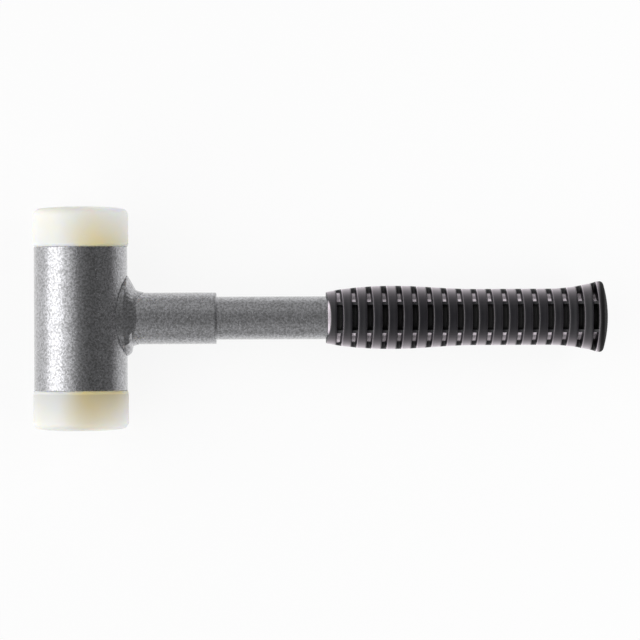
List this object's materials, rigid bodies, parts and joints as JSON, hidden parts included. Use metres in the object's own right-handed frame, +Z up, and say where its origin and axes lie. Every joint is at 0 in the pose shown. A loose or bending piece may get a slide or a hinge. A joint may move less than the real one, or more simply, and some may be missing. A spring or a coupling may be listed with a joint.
{
  "type": "dead blow hammer",
  "caption": "Dead blow hammer: grey steel head tube with ivory nylon striking inserts and loose steel shot inside, welded sleeve, tubular handle and black pocketed rubber grip.",
  "frame": {"origin": "on the table, under the middle of the outline of the hammer lying on its side", "axes": "+X along the handle from the head to the butt, +Y along the head from the lower to the upper striking insert, +Z up from the table"},
  "size_m": [0.3008, 0.117, 0.05],
  "materials": {
    "hammered_paint": "grey hammered paint with a fine silver fleck",
    "ivory_nylon": "satin, slightly translucent cast nylon",
    "black_rubber": "satin moulded rubber",
    "bare_steel": "bright steel"
  },
  "bodies": {
    "hammer": {"head_housing": "hammered_paint", "upper_face": "ivory_nylon", "lower_face": "ivory_nylon", "upper_shot_disc": "bare_steel", "lower_shot_disc": "bare_steel", "neck_socket": "hammered_paint", "weld_seam": "hammered_paint", "handle_tube": "hammered_paint", "rubber_grip": "black_rubber"},
    "shot": {"steel_shot": "bare_steel"}
  },
  "joints": [
    {"name": "shot_travel", "type": "slide", "parent": "hammer", "child": "shot", "axis": [0, 1, 0], "range_m": [-0.0042, 0.0042]}
  ]
}
